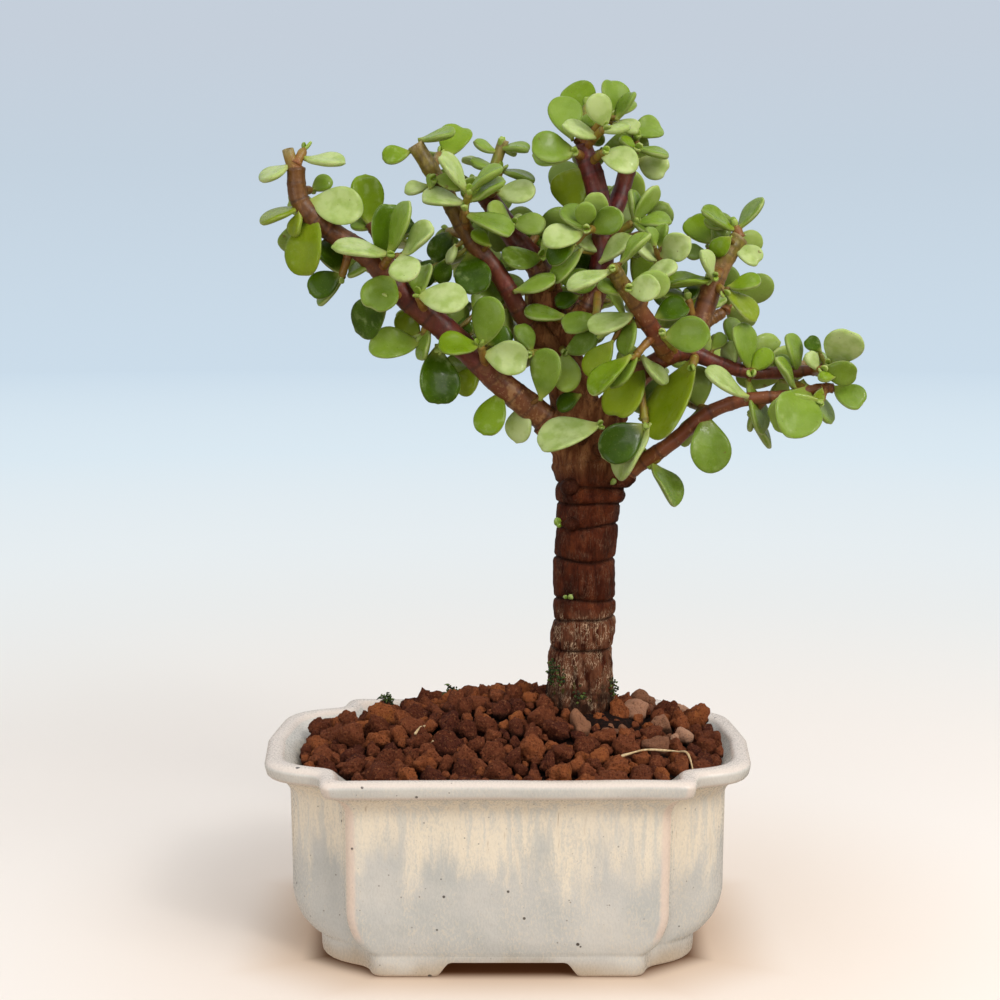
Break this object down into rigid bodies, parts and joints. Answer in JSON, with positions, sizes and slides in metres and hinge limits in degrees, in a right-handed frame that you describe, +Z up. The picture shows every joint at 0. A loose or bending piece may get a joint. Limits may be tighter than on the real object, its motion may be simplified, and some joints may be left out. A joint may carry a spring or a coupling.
{
  "type": "potted bonsai",
  "caption": "Dwarf jade bonsai with a ringed trunk and thick round leaves, in clay-granule soil in an oval glazed pot with indented corners.",
  "frame": {"origin": "centre of the whole object's footprint, on the surface that the pot's feet stand on", "axes": "+X to the right of the pot's long front side, +Y to its back, +Z up"},
  "size_m": [0.1594, 0.0976, 0.2304],
  "materials": {
    "glaze": "gloss",
    "soil": "matte",
    "mesh": "matte",
    "bark": "matte",
    "leaf": "satin"
  },
  "bodies": {
    "root": {"pot": "glaze", "soil": "soil", "drain_mesh_left": "mesh", "drain_mesh_right": "mesh", "trunk": "bark", "branch_left": "leaf", "branch_upper_left": "leaf", "branch_leader": "leaf", "branch_top": "leaf", "branch_right": "leaf", "branch_low_right": "leaf", "branch_back_left": "leaf", "branch_back_right": "leaf", "branch_back_top": "leaf"}
  },
  "joints": []
}
